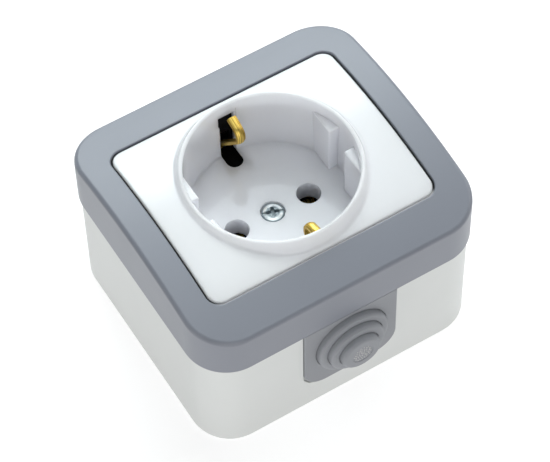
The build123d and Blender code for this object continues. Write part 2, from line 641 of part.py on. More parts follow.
# Line contact, the mirror image of the neutral one
with BuildPart() as line_contact:
    mirror(neutral_contact.part, about=Plane.YZ)
line_contact.part.label = "line_contact"
export_step(line_contact.part, "parts/line_contact.step")

# Box clamps for the three wires
with BuildPart() as neutral_terminal:
    with Locations((LIVE_TERMINAL_X, LIVE_TERMINAL_Y, LIVE_CAGE_BOTTOM)):
        add(box_clamp(0))
neutral_terminal.part.label = "neutral_terminal"
export_step(neutral_terminal.part, "parts/neutral_terminal.step")

with BuildPart() as line_terminal:
    with Locations((-LIVE_TERMINAL_X, LIVE_TERMINAL_Y, LIVE_CAGE_BOTTOM)):
        add(box_clamp(0))
line_terminal.part.label = "line_terminal"
export_step(line_terminal.part, "parts/line_terminal.step")

with BuildPart() as earth_terminal:
    with Locations((EARTH_TERMINAL_X, EARTH_TERMINAL_Y, EARTH_CAGE_BOTTOM)):
        add(box_clamp(90))
earth_terminal.part.label = "earth_terminal"
export_step(earth_terminal.part, "parts/earth_terminal.step")

# Terminal screws, backed out ready for wiring
with BuildPart() as terminal_screws:
    with Locations(
        (LIVE_TERMINAL_X, LIVE_TERMINAL_Y, LIVE_CAGE_BOTTOM + TERMINAL_HEAD_LIFT),
        (-LIVE_TERMINAL_X, LIVE_TERMINAL_Y, LIVE_CAGE_BOTTOM + TERMINAL_HEAD_LIFT),
        (EARTH_TERMINAL_X, EARTH_TERMINAL_Y, EARTH_CAGE_BOTTOM + TERMINAL_HEAD_LIFT),
    ):
        add(screw(TERMINAL_HEAD_RADIUS, TERMINAL_HEAD_HEIGHT, TERMINAL_SHANK_RADIUS, TERMINAL_SCREW_LENGTH))
terminal_screws.part.label = "terminal_screws"
export_step(terminal_screws.part, "parts/terminal_screws.step")

# Contact carrier: a block with fork chambers, terminal trays, screw wells, and bridges and shields in black
with BuildPart() as contact_carrier:
    with BuildSketch(Plane.XY.offset(CARRIER_BOTTOM)):
        RectangleRounded(CARRIER_WIDTH, CARRIER_HEIGHT, CARRIER_CORNER)
    extrude(amount=CARRIER_TOP - CARRIER_BOTTOM)
    fillet(contact_carrier.edges().group_by(Axis.Z)[-1], CARRIER_EDGE)
    with BuildSketch(Plane.XY.offset(CARRIER_BOTTOM)):
        with Locations((-LIVE_TERMINAL_X, TRAY_FRONT), (LIVE_TERMINAL_X, TRAY_FRONT)):
            Rectangle(TRAY_WIDTH, TRAY_REAR - TRAY_FRONT, align=(Align.CENTER, Align.MIN))
    extrude(amount=TRAY_HEIGHT)
    with BuildSketch(Plane.XY.offset(FORK_FLOOR)):
        with Locations(*PIN_PLACES):
            Rectangle(CHAMBER_WIDTH, CHAMBER_HEIGHT)
        with Locations((-LIVE_TERMINAL_X, 0), (LIVE_TERMINAL_X, 0)):
            Rectangle(CHANNEL_WIDTH, CHANNEL_WIDTH)
        with GridLocations(PIN_SPACING / 2 + LIVE_TERMINAL_X, 0, 2, 1):
            Rectangle(LIVE_TERMINAL_X - PIN_SPACING / 2, CHANNEL_WIDTH)
        with Locations((-LIVE_TERMINAL_X, 0), (LIVE_TERMINAL_X, 0)):
            Rectangle(CHANNEL_WIDTH, -TRAY_FRONT, align=(Align.CENTER, Align.MAX))
    extrude(amount=CARRIER_TOP, mode=Mode.SUBTRACT)
    with BuildSketch(Plane.XY.offset(LIVE_CAGE_BOTTOM)):
        with Locations((-LIVE_TERMINAL_X, TRAY_FRONT), (LIVE_TERMINAL_X, TRAY_FRONT)):
            Rectangle(CAGE_WIDTH + CARRIER_PLAY, CAGE_REAR - TRAY_FRONT, align=(Align.CENTER, Align.MIN))
    extrude(amount=CARRIER_TOP, mode=Mode.SUBTRACT)
    with Locations(*[(x, y, CARRIER_TOP) for x, y in CARRIER_SCREW_PLACES]):
        CounterBoreHole(
            CARRIER_SHANK_RADIUS + SCREW_PLAY,
            CARRIER_HEAD_RADIUS + SCREW_PLAY,
            CARRIER_TOP - CARRIER_SEAT,
            CARRIER_TOP - CARRIER_BOTTOM,
        )
    with Locations((0, 0, CARRIER_TOP)):
        Hole(2 * CENTRE_SHANK_RADIUS + SCREW_PLAY, CARRIER_TOP - CARRIER_SEAT)
    with Locations((0, BRIDGE_MIDDLE, CARRIER_TOP), (0, -BRIDGE_MIDDLE, CARRIER_TOP)):
        Box(
            TUNNEL_WIDTH + 2 * BRIDGE_WALL,
            BRIDGE_OUTER - BRIDGE_INNER,
            BRIDGE_TOP - CARRIER_TOP,
            align=UPWARDS,
        )
    with Locations((0, SHIELD_MIDDLE, BRIDGE_TOP), (0, -SHIELD_MIDDLE, BRIDGE_TOP)):
        Box(SHIELD_WIDTH, SHIELD_THICKNESS, SHIELD_TOP - BRIDGE_TOP, align=UPWARDS)
        Box(
            SHIELD_WIDTH / 2,
            2 * SHIELD_THICKNESS,
            SHIELD_DOOR - BRIDGE_TOP,
            align=UPWARDS,
            mode=Mode.SUBTRACT,
        )
    with Locations((0, 0, CARRIER_TOP)):
        Box(TUNNEL_WIDTH, BOX_HEIGHT, TUNNEL_HEIGHT, align=UPWARDS, mode=Mode.SUBTRACT)
    with Locations((0, LUG_ROOT_LOW - CARRIER_PLAY, CARRIER_TOP)):
        Box(
            CARRIER_WIDTH,
            BRIDGE_OUTER - LUG_ROOT_LOW,
            TUNNEL_HEIGHT,
            align=(Align.MIN, Align.MIN, Align.MIN),
            mode=Mode.SUBTRACT,
        )
contact_carrier.part.label = "contact_carrier"
export_step(contact_carrier.part, "parts/contact_carrier.step")

# Carrier screws, down through the carrier into the box's bosses
with BuildPart() as carrier_screws:
    with Locations(*[(x, y, CARRIER_SEAT) for x, y in CARRIER_SCREW_PLACES]):
        add(screw(CARRIER_HEAD_RADIUS, CARRIER_HEAD_HEIGHT, CARRIER_SHANK_RADIUS, CARRIER_SHANK_LENGTH))
carrier_screws.part.label = "carrier_screws"
export_step(carrier_screws.part, "parts/carrier_screws.step")

# Cable grommet: grooved panel and hollow stepped cone, cut back under the frame's skirt
cone_front = PANEL_FACE + len(CONE_RADII) * CONE_STEP
outer_steps = []
inner_steps = []
for tier, radius in enumerate(CONE_RADII):
    base = -(PANEL_FACE + tier * CONE_STEP)
    outer_steps += [(base, radius), (base - CONE_STEP, radius)]
    inner_base = base + CONE_SKIN
    inner_radius = radius - CONE_SKIN
    inner_steps += [(inner_base, inner_radius), (inner_base - CONE_STEP, inner_radius)]
inner_steps[0] = (-PANEL_BACK, CONE_RADII[0] - CONE_SKIN)
cone_section = [
    (-PANEL_BACK, CONE_RADII[0]),
    *outer_steps,
    (-cone_front, CONE_PAD_RADIUS),
    (CONE_PAD_DEPTH - cone_front, CONE_PAD_RADIUS),
    (CONE_PAD_DEPTH - cone_front, 0),
    (CONE_SKIN - cone_front, 0),
    *reversed(inner_steps),
]
with BuildPart() as cable_grommet:
    add(entry_slab(ENTRY_GAP, BEAD_OUTER + ENTRY_GAP, PANEL_FACE, TONGUE_TOP, PANEL_CORNER))
    fillet(cable_grommet.edges().group_by(Axis.Y)[0], PANEL_ROUND)
    add(entry_slab(ENTRY_BEAD + ENTRY_GAP, BEAD_INNER - ENTRY_GAP, BEAD_OUTER + ENTRY_GAP, TONGUE_TOP))
    add(entry_slab(ENTRY_GAP, PANEL_BACK, BEAD_INNER - ENTRY_GAP, TONGUE_TOP))
    with Locations((0, -FRAME_HEIGHT / 2, BOX_DEPTH - ENTRY_GAP)):
        Box(
            BOX_WIDTH,
            2 * TONGUE_INSET,
            TONGUE_TOP,
            align=UPWARDS,
            mode=Mode.SUBTRACT,
        )
    with Locations((0, -PANEL_BACK, BOX_DEPTH)):
        Box(BOX_WIDTH, 2 * PANEL_INNER, TONGUE_TOP, align=UPWARDS, mode=Mode.SUBTRACT)
    with Locations(Plane.XZ.offset(PANEL_BACK) * Location((0, CONE_CENTRE, 0))):
        Cylinder(CONE_RADII[0] - CONE_SKIN, PANEL_FACE, align=UPWARDS, mode=Mode.SUBTRACT)
    with BuildSketch(Plane.YZ):
        with BuildLine():
            Polyline(*[(y, CONE_CENTRE + r) for y, r in cone_section], close=True)
        make_face()
    revolve(axis=Axis((0, 0, CONE_CENTRE), (0, 1, 0)))
    step_edges = [
        edge
        for edge in cable_grommet.edges().filter_by(GeomType.CIRCLE)
        for tier, radius in enumerate(CONE_RADII)
        if abs(edge.radius - radius) < 0.01
        and abs(edge.arc_center.Y + PANEL_FACE + (tier + 1) * CONE_STEP) < 0.01
    ]
    fillet(step_edges, CONE_ROUND)
    with BuildSketch(Plane.YZ):
        for tier, radius in enumerate(CONE_RADII):
            tread = -(PANEL_FACE + tier * CONE_STEP)
            with Locations((tread, CONE_CENTRE + radius)):
                Rectangle(2 * CONE_GROOVE_DEPTH, CONE_GROOVE_WIDTH, align=(Align.CENTER, Align.MIN))
    revolve(axis=Axis((0, 0, CONE_CENTRE), (0, 1, 0)), mode=Mode.SUBTRACT)
cable_grommet.part.label = "cable_grommet"
export_step(cable_grommet.part, "parts/cable_grommet.step")
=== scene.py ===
"""Earthed wall socket: finishes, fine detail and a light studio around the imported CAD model."""

import json
from math import cos, pi, radians, sin, sqrt
from random import Random

import bmesh
import bpy
from bpy.props import FloatProperty, FloatVectorProperty, IntProperty, PointerProperty
from mathutils import Euler, Matrix, Vector


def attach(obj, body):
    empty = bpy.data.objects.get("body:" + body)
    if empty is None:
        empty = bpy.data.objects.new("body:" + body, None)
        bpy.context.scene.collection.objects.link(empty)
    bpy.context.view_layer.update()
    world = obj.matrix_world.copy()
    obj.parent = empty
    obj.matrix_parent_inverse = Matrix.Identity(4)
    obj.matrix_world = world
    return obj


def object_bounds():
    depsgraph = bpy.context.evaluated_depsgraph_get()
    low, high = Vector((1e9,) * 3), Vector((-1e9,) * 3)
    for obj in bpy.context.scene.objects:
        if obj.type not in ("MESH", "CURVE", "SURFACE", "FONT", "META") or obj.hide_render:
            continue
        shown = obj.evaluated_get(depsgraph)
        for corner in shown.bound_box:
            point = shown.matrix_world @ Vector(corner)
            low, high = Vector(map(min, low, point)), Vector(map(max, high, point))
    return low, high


bl_info = {
    "name": "Earthed wall socket",
    "version": (1, 0, 0),
    "blender": (4, 5, 0),
    "location": "View3D > Sidebar > Socket",
    "description": "Finishes, fine detail and studio for a surface-mounted earthed wall socket",
    "category": "Object",
}

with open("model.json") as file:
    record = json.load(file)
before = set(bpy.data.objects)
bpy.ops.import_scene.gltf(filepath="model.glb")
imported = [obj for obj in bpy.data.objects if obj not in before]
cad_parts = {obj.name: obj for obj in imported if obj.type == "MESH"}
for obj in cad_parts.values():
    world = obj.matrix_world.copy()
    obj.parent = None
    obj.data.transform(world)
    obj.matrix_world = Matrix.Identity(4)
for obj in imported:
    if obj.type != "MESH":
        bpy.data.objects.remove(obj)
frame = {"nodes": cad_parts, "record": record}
cad_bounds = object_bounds()

MILLIMETRE = 0.001
MICRON = 0.000001
BODY = "root"

# Mouldings: slow drift of tone and gloss, and the fine grain of the mould
NOISE_MIDDLE = 0.5
FLOW_SIZE = 18 * MILLIMETRE
FLOW_SHARE = 0.7
GLOSS_PATCH = 7 * MILLIMETRE
GLOSS_DRIFT = 0.06
GRAIN_DRIFT = 0.03
GRAIN_ROUGHNESS = 0.65
MOULDED_GLOSS = 0.3
SEAL_GRAIN = 0.6 * MILLIMETRE
SEAL_GRAIN_DEPTH = 30 * MICRON

# Smallest and largest dot on the grommet's pad, as shares of the usual radius
DOT_WIDTHS = (0.7, 1.2)

# Studio
UPPER_LIGHTS = ("top", "back", "gloss")
SIDE_LIGHTS = ("right", "left", "front")
LIGHT_WHITE = (1.0, 1.0, 1.0, 1.0)
SENSOR_WIDTH = 36.0
NEAREST_VIEW = 10 * MILLIMETRE
FLOOR_GAP = 0.1 * MILLIMETRE


def colour_property(name, description, default):
    """A colour that a user may change."""
    return FloatVectorProperty(
        name=name,
        description=description,
        default=(*default, 1.0),
        size=4,
        min=0.0,
        max=1.0,
        subtype="COLOR",
    )


def share_property(name, description, default):
    """A share between nought and one."""
    return FloatProperty(
        name=name, description=description, default=default, min=0.0, max=1.0, subtype="FACTOR"
    )


def length_property(name, description, millimetres):
    """A length, given in millimetres and kept in metres."""
    return FloatProperty(
        name=name,
        description=description,
        default=millimetres * MILLIMETRE,
        min=0.0,
        precision=5,
        subtype="DISTANCE",
        unit="LENGTH",
    )


def power_property(name, description, watts):
    """A light's power in watts."""
    return FloatProperty(name=name, description=description, default=watts, min=0.0, unit="POWER")


def direction_property(name, description, default):
    """The way from the socket to a light."""
    return FloatVectorProperty(
        name=name, description=description, default=default, size=3, subtype="DIRECTION"
    )


def angle_property(name, description, degrees):
    """An angle, given in degrees and kept in radians."""
    return FloatProperty(
        name=name, description=description, default=radians(degrees), subtype="ANGLE", unit="ROTATION"
    )


class SocketPlastics(bpy.types.PropertyGroup):
    """Colours and gloss of the moulded pieces."""

    box: colour_property("Back box", "Light grey of the box on the wall", (0.760, 0.774, 0.758))
    frame: colour_property("Cover frame", "Mid grey of the frame", (0.246, 0.259, 0.299))
    insert: colour_property("Insert", "White of the insert and its well", (0.898, 0.901, 0.950))
    grommet: colour_property("Grommet", "Grey of the soft cable entry", (0.312, 0.321, 0.344))
    # Paler partly as the pad's own tone and partly as painted highlight for the dots' glints.
    dots: colour_property("Dots", "Paler rubber of the dots on the grommet's pad", (0.57, 0.555, 0.55))
    # Real black of the seal; on the gasket the same black is painted shade in the gap round the insert.
    seal: colour_property("Seal", "Black of the seal and the gasket", (0.015, 0.015, 0.016))
    # Painted light: a paler grey along the gasket's lower edge, where the gap shows no shade.
    painted_light: colour_property("Dust", "Grey dust along the gasket's lower edge", (0.72, 0.70, 0.71))
    # The carrier's own black, made darker still as painted shade where it shows through the slots.
    carrier: colour_property("Carrier", "Black of the carrier behind the well", (0.004, 0.004, 0.005))
    box_roughness: share_property("Box roughness", "Fine satin of the box", 0.42)
    frame_roughness: share_property("Frame roughness", "Fine satin of the frame", 0.38)
    well_roughness: share_property("Well roughness", "Polish of the plug well", 0.045)
    insert_roughness: share_property("Insert roughness", "Gloss of the insert round the well", 0.17)
    grommet_roughness: share_property("Grommet roughness", "Dull skin of the grommet", 0.55)
    dot_roughness: share_property("Dot roughness", "Rubbed skin of the dots", 0.4)
    seal_roughness: share_property("Seal roughness", "Dull foam of the seal and the gasket", 0.8)
    carrier_roughness: share_property("Carrier roughness", "Dull surface of the carrier", 0.6)


class SocketMetals(bpy.types.PropertyGroup):
    """Colours and gloss of the bare and plated metal."""

    brass: colour_property("Brass", "Rolled brass of the clips and contacts", (0.96, 0.70, 0.17))
    tarnish: colour_property("Tarnish", "Darker brass in the rolling lines and stains", (0.36, 0.20, 0.03))
    zinc: colour_property("Zinc", "Blue-white zinc on the screws", (0.93, 0.97, 0.97))
    # Recess colour: the painted dark reflection in the screw's middle, and the painted shade along its slot
    # and round its rim.
    recess: colour_property("Recess", "Dull zinc in the screw's recess and on its rim", (0.35, 0.41, 0.44))
    line_strength: share_property("Line strength", "Tarnish in the brass's rolling lines", 0.75)
    stain_strength: share_property("Stain strength", "Tarnish in the brass's stains", 0.15)
    # Strength of the painted shade along the screw's slot.
    slot_shade_strength: share_property("Slot strength", "Dullness along the screw's slot", 0.6)
    brass_roughness: share_property("Brass roughness", "Gloss of clean brass", 0.4)
    steel_roughness: share_property("Steel roughness", "Gloss of the inner screws", 0.22)
    screw_roughness: share_property("Screw roughness", "Gloss of the centre screw's crown", 0.24)
    recess_roughness: share_property("Recess roughness", "Dull zinc of the centre screw's recess", 0.64)


class SocketDetail(bpy.types.PropertyGroup):
    """Sizes that the finishes follow, and those of the dots on the grommet's pad."""

    well_radius: length_property("Well radius", "Radius of the plug well", 19.75)
    light_reach: length_property("Light reach", "How far light spreads inside the white plastic", 2.5)
    insert_height: length_property("Insert height", "Height of the insert up the wall", 46.2)
    # Reach of the painted light along the gasket's lower edge.
    painted_light_reach: length_property("Dust reach", "Width of the dust along the insert's lower edge", 1.2)
    crown_radius: length_property("Crown radius", "Radius of the screw head's crown", 2.35)
    # Radius of the painted dark reflection in the screw's middle.
    painted_dark_radius: length_property("Recess radius", "Radius of the dull middle of the screw", 1.85)
    slot_width: length_property("Slot width", "Width of the screw's slot", 0.7)
    screw_turn: angle_property("Screw turn", "Turn of the screw's slot", -19.0)
    pad_radius: length_property("Pad radius", "Radius of the dotted field on the grommet's cone", 2.35)
    pad_depth: length_property("Pad depth", "Depth of the pad's recess in the cone", 0.1)
    dot_radius: length_property("Dot radius", "Usual radius of a dot", 0.19)
    dot_height: length_property("Dot height", "Rise of each dot above the pad", 0.09)
    dot_scatter: length_property("Dot scatter", "Most that a dot strays, across and up the pad", 0.12)
    dot_pitch: length_property("Dot pitch", "Usual gap between the middles of two dots", 0.64)
    dot_seed: IntProperty(
        name="Dot seed", description="Choice of the scatter", default=5, min=0, subtype="UNSIGNED"
    )


class SocketStage(bpy.types.PropertyGroup):
    """Camera, floor and lights."""

    azimuth: angle_property("Azimuth", "Turn of the camera to the right of the front", -30.37)
    elevation: angle_property("Elevation", "Height of the camera above the horizon", 56.13)
    roll: angle_property("Roll", "Tilt of the picture", -1.42)
    distance: length_property("Distance", "From the camera to the point that it looks at", 599.0)
    aim: FloatVectorProperty(
        name="Aim",
        description="Point in the middle of the picture",
        default=(-0.0005, -0.00156, 0.0235),
        size=3,
        precision=5,
        subtype="TRANSLATION",
        unit="LENGTH",
    )
    lens: FloatProperty(
        name="Lens",
        description="Focal length on a sensor 36 mm wide",
        default=172.24,
        min=1.0,
        unit="CAMERA",
    )
    floor_size: length_property("Floor size", "Side of the floor", 6000.0)
    floor_colour: colour_property(
        "Floor", "Grey of the table, which its glow turns white", (0.45, 0.45, 0.45)
    )
    floor_glow: share_property("Floor glow", "Light through the translucent table", 0.74)
    upper_colour: colour_property(
        "Upper colour", "Cool white of the lights above and behind", (0.90, 0.978, 1.0)
    )
    light_size: length_property("Light size", "Side of each square light", 600.0)
    light_distance: length_property("Light distance", "From each light to the socket", 1000.0)
    top_power: power_property("Top light", "Power of the light overhead", 1.85)
    top_way: direction_property("Top way", "Way to the light overhead", (0.0, 0.0, 1.0))
    back_power: power_property("Back light", "Power of the light behind", 5.8)
    back_way: direction_property("Back way", "Way to the light behind", (0.28, 0.78, 0.56))
    gloss_power: power_property("Gloss light", "Power of the light that the glossy well mirrors", 2.95)
    gloss_way: direction_property("Gloss way", "Way to the light that the well mirrors", (0.28, 0.48, 0.83))
    right_power: power_property("Right light", "Power of the light on the right", 3.1)
    right_way: direction_property("Right way", "Way to the light on the right", (1.0, 0.0, 0.7))
    left_power: power_property("Left light", "Power of the light on the left", 1.65)
    left_way: direction_property("Left way", "Way to the light on the left", (-1.0, -0.2, 0.4))
    front_power: power_property("Front light", "Power of the light in front", 2.65)
    front_way: direction_property("Front way", "Way to the light in front", (-0.3, -1.0, 0.45))


class Wire:
    """An output of a node, with Python's arithmetic on the values that it carries."""

    def __init__(self, finish, socket):
        self.finish = finish
        self.socket = socket

    def math(self, operation, first, second):
        """A Math node on two values, each a wire or a number."""
        return self.finish.node("Math", {"operation": operation}, {0: first, 1: second})

    def __add__(self, other):
        return self.math("ADD", self, other)

    def __radd__(self, other):
        return self.math("ADD", other, self)

    def __sub__(self, other):
        return self.math("SUBTRACT", self, other)

    def __rsub__(self, other):
        return self.math("SUBTRACT", other, self)

    def __mul__(self, other):
        return self.math("MULTIPLY", self, other)

    def __rmul__(self, other):
        return self.math("MULTIPLY", other, self)


class Finish:
    """One material while it is made: its nodes, and the shader that they feed."""

    def __init__(self, name):
        self.material = bpy.data.materials.new(name)
        self.material.use_nodes = True
        self.tree = self.material.node_tree
        self.shader = self.tree.nodes["Principled BSDF"]
        self.place = self.node("TexCoord", output="Object")

    def node(self, kind, settings=None, sockets=None, output=0):
        """Adds a node, sets it up, fills its sockets with values or links, and gives one of its outputs."""
        made = self.tree.nodes.new("ShaderNode" + kind)
        for name, value in (settings or {}).items():
            setattr(made, name, value)
        for key, value in (sockets or {}).items():
            self.feed(made.inputs[key], value)
        return Wire(self, made.outputs[output])

    def feed(self, socket, value):
        """Links a wire to a socket, or sets a plain value on it."""
        if isinstance(value, Wire):
            self.tree.links.new(value.socket, socket)
        else:
            socket.default_value = value

    def shade(self, **values):
        """Feeds the shader's sockets, named in lower case with underscores."""
        for name, value in values.items():
            self.feed(self.shader.inputs[name.replace("_", " ").title().replace("Ior", "IOR")], value)

    def noise(self, size, detail=2.0, roughness=0.5, stretch=None):
        """Noise whose features are about one size across, in metres, in the object's own space."""
        place = self.place
        if stretch:
            place = self.node("VectorMath", {"operation": "MULTIPLY"}, {0: place, 1: stretch})
        return self.node(
            "TexNoise", {}, {"Vector": place, "Scale": 1.0 / size, "Detail": detail, "Roughness": roughness}
        )

    def radius(self):
        """Distance from the line through the middle of the well."""
        flat = self.node("VectorMath", {"operation": "MULTIPLY"}, {0: self.place, 1: (1.0, 1.0, 0.0)})
        return self.node("VectorMath", {"operation": "LENGTH"}, {0: flat}, output="Value")

    def y_of(self, place):
        """The Y coordinate of a place."""
        return self.node("SeparateXYZ", {}, {0: place}, output="Y")

    def range(self, value, low, high, start=0.0, end=1.0):
        """Moves a value smoothly from one range to another."""
        settings = {"interpolation_type": "SMOOTHSTEP"}
        return self.node("MapRange", settings, {0: value, 1: low, 2: high, 3: start, 4: end})

    def mix(self, first, second, factor):
        """A colour between two others."""
        return self.node("Mix", {"data_type": "RGBA"}, {0: factor, 6: first, 7: second}, output=2)

    def bump(self, height, depth):
        """A normal from a height between nought and one that is so many metres deep."""
        return self.node("Bump", {}, {"Height": height, "Distance": depth, "Strength": 1.0})

    def grain(self, size, depth, roughness, gloss=MOULDED_GLOSS):
        """Shades the grain of a mould under a slow drift of gloss, and gives the grain's noise."""
        speck = self.noise(size, roughness=GRAIN_ROUGHNESS)
        patches = self.noise(GLOSS_PATCH)
        drift = GLOSS_DRIFT * (patches - NOISE_MIDDLE) + GRAIN_DRIFT * (speck - NOISE_MIDDLE)
        self.shade(roughness=roughness + drift, specular_ior_level=gloss, normal=self.bump(speck, depth))
        return speck


def tinted(colour, factor):
    """The colour, lighter or darker by a factor."""
    return (*[min(1.0, channel * factor) for channel in colour[:3]], 1.0)


def moulded(name, colour, roughness, grain, depth, drift=0.04, gloss=MOULDED_GLOSS):
    """Moulded plastic or rubber of one colour, whose tone drifts slowly and with the grain."""
    finish = Finish(name)
    speck = finish.grain(grain, depth, roughness, gloss)
    tone = FLOW_SHARE * finish.noise(FLOW_SIZE, detail=3.0) + (1 - FLOW_SHARE) * speck
    finish.shade(base_color=finish.mix(tinted(colour, 1 - drift), tinted(colour, 1 + drift), tone))
    return finish.material


def box_plastic():
    """Light grey plastic with a matte spark-eroded grain."""
    plastics = bpy.context.scene.socket_plastics
    return moulded(
        "box_plastic", plastics.box, plastics.box_roughness, grain=0.35 * MILLIMETRE, depth=4 * MICRON
    )


def frame_plastic():
    """Mid grey satin plastic."""
    plastics = bpy.context.scene.socket_plastics
    return moulded(
        "frame_plastic",
        plastics.frame,
        plastics.frame_roughness,
        grain=0.3 * MILLIMETRE,
        depth=4 * MICRON,
        gloss=0.5,
    )


def insert_plastic():
    """White plastic that lets light in, polished in the well, a little wavy and with faint scuffs."""
    plastics = bpy.context.scene.socket_plastics
    detail = bpy.context.scene.socket_detail
    darkest = 0.975
    palest = 1.02
    cloud_drift = 0.02
    scuff_drift = 0.03
    plate_start = 1.05 * detail.well_radius
    finish = Finish("insert_plastic")
    waves = finish.noise(2.5 * MILLIMETRE, detail=1.0)
    cloud = finish.noise(12 * MILLIMETRE, detail=3.0)
    scuffs = finish.range(finish.noise(1.1 * MILLIMETRE, detail=4.0, roughness=0.7), low=0.56, high=0.7)
    polish = finish.range(
        finish.radius(),
        low=detail.well_radius,
        high=plate_start,
        start=plastics.well_roughness,
        end=plastics.insert_roughness,
    )
    finish.shade(
        base_color=finish.mix(tinted(plastics.insert, darkest), tinted(plastics.insert, palest), cloud),
        roughness=polish + cloud_drift * (cloud - NOISE_MIDDLE) + scuff_drift * scuffs,
        subsurface_weight=1.0,
        subsurface_radius=(1.0, 1.0, 1.0),
        subsurface_scale=detail.light_reach,
        normal=finish.bump(waves, depth=1.5 * MICRON),
    )
    return finish.material


def grommet_rubber():
    """Soft grey rubber with a dry, dull skin."""
    plastics = bpy.context.scene.socket_plastics
    return moulded(
        "grommet_rubber",
        plastics.grommet,
        plastics.grommet_roughness,
        grain=0.4 * MILLIMETRE,
        depth=8 * MICRON,
        drift=0.06,
    )


def rubbed_rubber():
    """The dots on the grommet's pad, a little shiny, paler partly in their own tone and partly as painted
    highlight for their glints.
    """
    plastics = bpy.context.scene.socket_plastics
    return moulded(
        "rubbed_rubber",
        plastics.dots,
        plastics.dot_roughness,
        grain=0.2 * MILLIMETRE,
        depth=4 * MICRON,
        drift=0.25,
    )


def seal_rubber():
    """Black foam rubber."""
    plastics = bpy.context.scene.socket_plastics
    return moulded(
        "seal_rubber", plastics.seal, plastics.seal_roughness, SEAL_GRAIN, SEAL_GRAIN_DEPTH, drift=0.2
    )


def gasket_rubber():
    """Black rubber in the gap round the insert, its black painted shade, and grey along the lower edge as
    painted light.
    """
    plastics = bpy.context.scene.socket_plastics
    detail = bpy.context.scene.socket_detail
    lower_edge = -detail.insert_height / 2
    faintest_painted_light = 0.8
    finish = Finish("gasket_rubber")
    finish.grain(SEAL_GRAIN, SEAL_GRAIN_DEPTH, plastics.seal_roughness)
    edge = finish.range(
        finish.y_of(finish.place), low=lower_edge, high=lower_edge + detail.painted_light_reach, start=1.0, end=0.0
    )
    # Painted light: grey along the lower edge, a little patchy, lifting the gap's shade there.
    painted_light = edge * (faintest_painted_light + (1 - faintest_painted_light) * finish.noise(2 * MILLIMETRE))
    # Elsewhere the black is painted shade in the gap round the insert.
    finish.shade(base_color=finish.mix(plastics.seal, plastics.painted_light, painted_light))
    return finish.material


def carrier_plastic():
    """Black thermoset behind the well, darker than plain plastic as painted shade where it shows through the
    slots.
    """
    plastics = bpy.context.scene.socket_plastics
    return moulded(
        "carrier_plastic",
        plastics.carrier,
        plastics.carrier_roughness,
        grain=0.4 * MILLIMETRE,
        depth=5 * MICRON,
        drift=0.15,
        gloss=0.1,
    )


def contact_brass():
    """Rolled brass: fine dark lines along each strip of the clips, and faint stains."""
    metals = bpy.context.scene.socket_metals
    along_strip = (4.0, 0.06, 0.06)
    line_drift = 0.12
    stain_drift = 0.08
    finish = Finish("contact_brass")
    streaks = finish.noise(1.1 * MILLIMETRE, detail=3.0, stretch=along_strip)
    lines = finish.range(streaks, low=0.42, high=0.58)
    stains = finish.range(finish.noise(2.4 * MILLIMETRE, detail=3.0), low=0.45, high=0.75)
    dark = metals.stain_strength * stains + metals.line_strength * lines
    finish.shade(
        base_color=finish.mix(metals.brass, metals.tarnish, dark),
        metallic=1.0,
        roughness=metals.brass_roughness + line_drift * lines + stain_drift * stains,
        normal=finish.bump(lines, depth=6 * MICRON),
    )
    return finish.material


def plated_steel():
    """Zinc-plated steel: a patchy blue-white plating over fine scratches."""
    metals = bpy.context.scene.socket_metals
    dull_zinc = tinted(metals.zinc, 0.62)
    drift = 0.12
    finish = Finish("plated_steel")
    scratches = finish.noise(0.3 * MILLIMETRE, detail=3.0)
    patches = finish.noise(0.9 * MILLIMETRE, detail=3.0)
    finish.shade(
        base_color=finish.mix(metals.zinc, dull_zinc, finish.range(patches, low=0.4, high=0.75)),
        metallic=1.0,
        roughness=metals.steel_roughness + drift * scratches + drift * patches,
        normal=finish.bump(scratches, depth=4 * MICRON),
    )
    return finish.material


def screw_zinc():
    """Turned zinc on the centre screw; rougher in the middle, along its slot and round its rim, where a
    painted dark reflection and painted shade darken it.
    """
    metals = bpy.context.scene.socket_metals
    detail = bpy.context.scene.socket_detail
    rings_per_metre = 9000.0
    drift = 0.1
    faintest_painted_dark = 0.7
    painted_dark_start = 0.75 * detail.painted_dark_radius
    rim_start = 0.92 * detail.crown_radius
    rim_end = 1.02 * detail.crown_radius
    # The painted shade along the slot fades between these squares of the distance from its middle line
    slot_end = detail.slot_width ** 2
    slot_start = 0.4 * slot_end
    finish = Finish("screw_zinc")
    radius = finish.radius()
    rings = finish.node(
        "TexNoise", {"noise_dimensions": "1D"}, {"W": radius, "Scale": rings_per_metre, "Detail": 2.0}
    )
    patches = finish.range(finish.noise(0.6 * MILLIMETRE, detail=3.0), low=0.35, high=0.65)
    middle = finish.range(radius, low=painted_dark_start, high=detail.painted_dark_radius, start=1.0, end=0.0)
    turned = finish.node(
        "VectorRotate", {"rotation_type": "Z_AXIS"}, {"Vector": finish.place, "Angle": -detail.screw_turn}
    )
    across = finish.y_of(turned)
    # Painted shade along the slot.
    painted_slot_shade = finish.range(across * across, low=slot_start, high=slot_end, start=1.0, end=0.0)
    # Painted shadow round the rim, from the gap round the head.
    rim = finish.range(radius, low=rim_start, high=rim_end)
    # Painted dark reflection over the middle of the screw, a little patchy.
    painted_dark = middle * (faintest_painted_dark + (1 - faintest_painted_dark) * patches)
    bright = (1 - painted_dark) * (1 - metals.slot_shade_strength * painted_slot_shade) * (1 - rim)
    polish = (metals.recess_roughness - metals.screw_roughness) * bright
    finish.shade(
        base_color=finish.mix(metals.recess, metals.zinc, bright),
        metallic=1.0,
        roughness=metals.recess_roughness + drift * rings + drift * patches - polish,
        normal=finish.bump(rings, depth=4 * MICRON),
    )
    return finish.material


